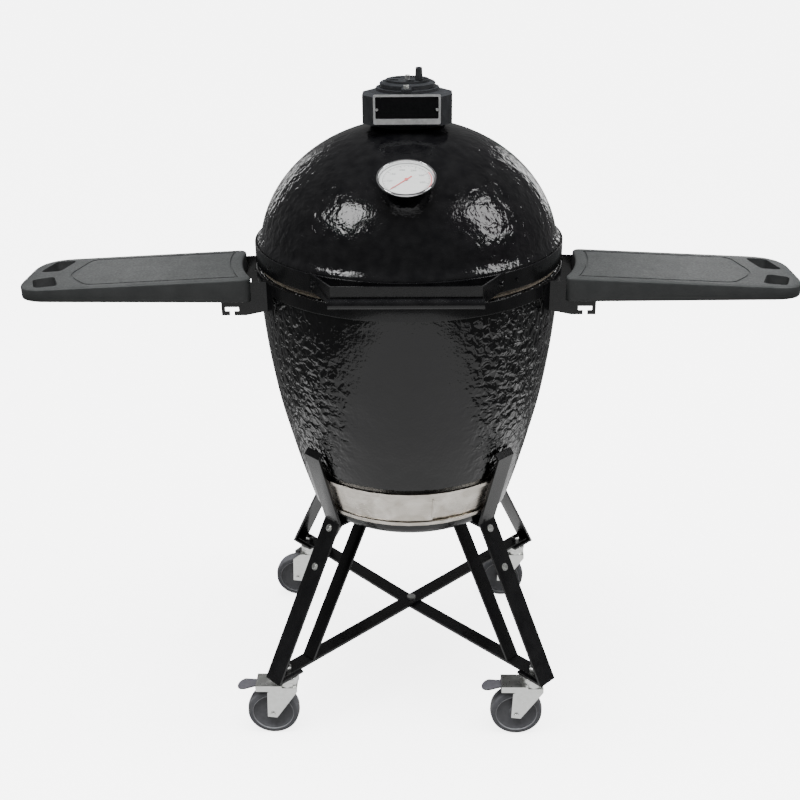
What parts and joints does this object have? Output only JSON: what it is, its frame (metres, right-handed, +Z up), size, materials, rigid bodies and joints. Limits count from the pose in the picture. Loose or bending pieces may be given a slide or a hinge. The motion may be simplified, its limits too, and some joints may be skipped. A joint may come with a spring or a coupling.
{
  "type": "kamado grill",
  "caption": "Egg-shaped ceramic charcoal grill with a hinged domed lid, top and bottom air vents, a lid thermometer and side shelves, on a wheeled steel cart.",
  "frame": {"origin": "on the floor, on the vertical axis of the ceramic egg, which is the centre of the bounding box's underside", "axes": "+Z up, -Y towards the front (thermometer, draft door and lid handle), +X towards the right-hand shelf seen from the front"},
  "size_m": [1.35, 0.628, 1.2145],
  "materials": {
    "glaze": "gloss, orange peel",
    "firebrick": "matte",
    "cast_iron": "matte, sand cast",
    "felt": "matte",
    "black_steel": "gloss powder coat",
    "zinc": "bright zinc plate",
    "chrome": "polished",
    "dial_white": "satin",
    "plate": "satin",
    "needle_red": "satin",
    "lens": "clear",
    "stainless": "brushed",
    "shelf_plastic": "fine grain",
    "wheel_rubber": "satin",
    "pedal_plastic": "satin"
  },
  "bodies": {
    "stand": {"base_shell": "glaze", "fire_box": "firebrick", "base_gasket": "felt", "base_band": "black_steel", "hinge_base_bracket": "black_steel", "hinge_pin": "zinc", "draft_frame": "stainless", "bracket_right_front": "black_steel", "bracket_right_rear": "black_steel", "bracket_left_front": "black_steel", "bracket_left_rear": "black_steel", "leg_front_right": "black_steel", "leg_front_left": "black_steel", "leg_rear_right": "black_steel", "leg_rear_left": "black_steel", "inner_frame_a": "black_steel", "inner_frame_b": "black_steel", "cross_strap_a": "black_steel", "cross_strap_b": "black_steel", "cross_bolt": "zinc", "caster_mount_front_right": "zinc", "caster_mount_front_left": "zinc", "caster_mount_rear_right": "zinc", "caster_mount_rear_left": "zinc"},
    "lid": {"lid_shell": "glaze", "lid_gasket": "felt", "lid_band": "black_steel", "hinge_lid_bracket": "black_steel", "lid_handle": "black_steel", "thermometer_case": "chrome", "thermometer_dial": "dial_white", "thermometer_lens": "lens", "thermometer_stem": "zinc", "cap_housing": "cast_iron", "name_plate": "plate", "damper_pivot_bolt": "zinc"},
    "needle": {"thermometer_needle": "needle_red"},
    "damper": {"damper_disc": "cast_iron", "daisy_bolt": "zinc"},
    "daisy": {"daisy_wheel": "cast_iron", "damper_knob": "cast_iron"},
    "draft_door": {"draft_door": "stainless"},
    "cooking_grate": {"cooking_grate": "cast_iron"},
    "charcoal_grate": {"charcoal_grate": "cast_iron"},
    "shelf_right": {"shelf_right": "shelf_plastic"},
    "shelf_left": {"shelf_left": "shelf_plastic"},
    "swivel_front_right": {"caster_fork_front_right": "zinc"},
    "swivel_front_left": {"caster_fork_front_left": "zinc"},
    "swivel_rear_right": {"caster_fork_rear_right": "zinc"},
    "swivel_rear_left": {"caster_fork_rear_left": "zinc"},
    "wheel_front_right": {"caster_wheel_front_right": "wheel_rubber"},
    "wheel_front_left": {"caster_wheel_front_left": "wheel_rubber"},
    "wheel_rear_right": {"caster_wheel_rear_right": "wheel_rubber"},
    "wheel_rear_left": {"caster_wheel_rear_left": "wheel_rubber"},
    "pedal_front_right": {"brake_pedal_front_right": "pedal_plastic"},
    "pedal_front_left": {"brake_pedal_front_left": "pedal_plastic"}
  },
  "joints": [
    {"name": "lid_hinge", "type": "hinge", "parent": "stand", "child": "lid", "pos_m": [0, 0.303, 0.883], "axis": [-1, 0, 0], "range_deg": [0, 70]},
    {"name": "needle_turn", "type": "hinge", "parent": "lid", "child": "needle", "pos_m": [0, -0.194, 1.05128], "axis": [0, 0.3907, -0.9205], "range_deg": [0, 270]},
    {"name": "damper_swing", "type": "hinge", "parent": "lid", "child": "damper", "pos_m": [-0.001, -0.062, 1.185], "axis": [0, 0, 1], "range_deg": [0, 80]},
    {"name": "daisy_turn", "type": "hinge", "parent": "damper", "child": "daisy", "pos_m": [0, 0, 1.19], "axis": [0, 0, 1], "range_deg": [0, 36]},
    {"name": "draft_slide", "type": "hinge", "parent": "stand", "child": "draft_door", "pos_m": [0, 0, 0.475], "axis": [0, 0, 1], "range_deg": [0, 34]},
    {"name": "cooking_grate_lift", "type": "slide", "parent": "stand", "child": "cooking_grate", "axis": [0, 0, 1], "range_m": [0, 0.045]},
    {"name": "charcoal_grate_lift", "type": "slide", "parent": "stand", "child": "charcoal_grate", "axis": [0, 0, 1], "range_m": [0, 0.1]},
    {"name": "shelf_right_lift", "type": "slide", "parent": "stand", "child": "shelf_right", "axis": [0, 0, 1], "range_m": [0, 0.1]},
    {"name": "shelf_left_lift", "type": "slide", "parent": "stand", "child": "shelf_left", "axis": [0, 0, 1], "range_m": [0, 0.1]},
    {"name": "swivel_front_right", "type": "hinge", "parent": "stand", "child": "swivel_front_right", "pos_m": [0.23264, -0.23264, 0.12], "axis": [0, 0, 1], "continuous": true},
    {"name": "swivel_front_left", "type": "hinge", "parent": "stand", "child": "swivel_front_left", "pos_m": [-0.23264, -0.23264, 0.12], "axis": [0, 0, 1], "continuous": true},
    {"name": "swivel_rear_right", "type": "hinge", "parent": "stand", "child": "swivel_rear_right", "pos_m": [0.23264, 0.23264, 0.12], "axis": [0, 0, 1], "continuous": true},
    {"name": "swivel_rear_left", "type": "hinge", "parent": "stand", "child": "swivel_rear_left", "pos_m": [-0.23264, 0.23264, 0.12], "axis": [0, 0, 1], "continuous": true},
    {"name": "spin_front_right", "type": "hinge", "parent": "swivel_front_right", "child": "wheel_front_right", "pos_m": [0.20264, -0.23264, 0.05], "axis": [0, 1, 0], "continuous": true},
    {"name": "spin_front_left", "type": "hinge", "parent": "swivel_front_left", "child": "wheel_front_left", "pos_m": [-0.26264, -0.23264, 0.05], "axis": [0, 1, 0], "continuous": true},
    {"name": "spin_rear_right", "type": "hinge", "parent": "swivel_rear_right", "child": "wheel_rear_right", "pos_m": [0.20264, 0.23264, 0.05], "axis": [0, 1, 0], "continuous": true},
    {"name": "spin_rear_left", "type": "hinge", "parent": "swivel_rear_left", "child": "wheel_rear_left", "pos_m": [-0.26264, 0.23264, 0.05], "axis": [0, 1, 0], "continuous": true},
    {"name": "pedal_front_right", "type": "hinge", "parent": "swivel_front_right", "child": "pedal_front_right", "pos_m": [0.17464, -0.23264, 0.1075], "axis": [0, 1, 0], "range_deg": [0, 12]},
    {"name": "pedal_front_left", "type": "hinge", "parent": "swivel_front_left", "child": "pedal_front_left", "pos_m": [-0.29064, -0.23264, 0.1075], "axis": [0, 1, 0], "range_deg": [0, 12]}
  ]
}
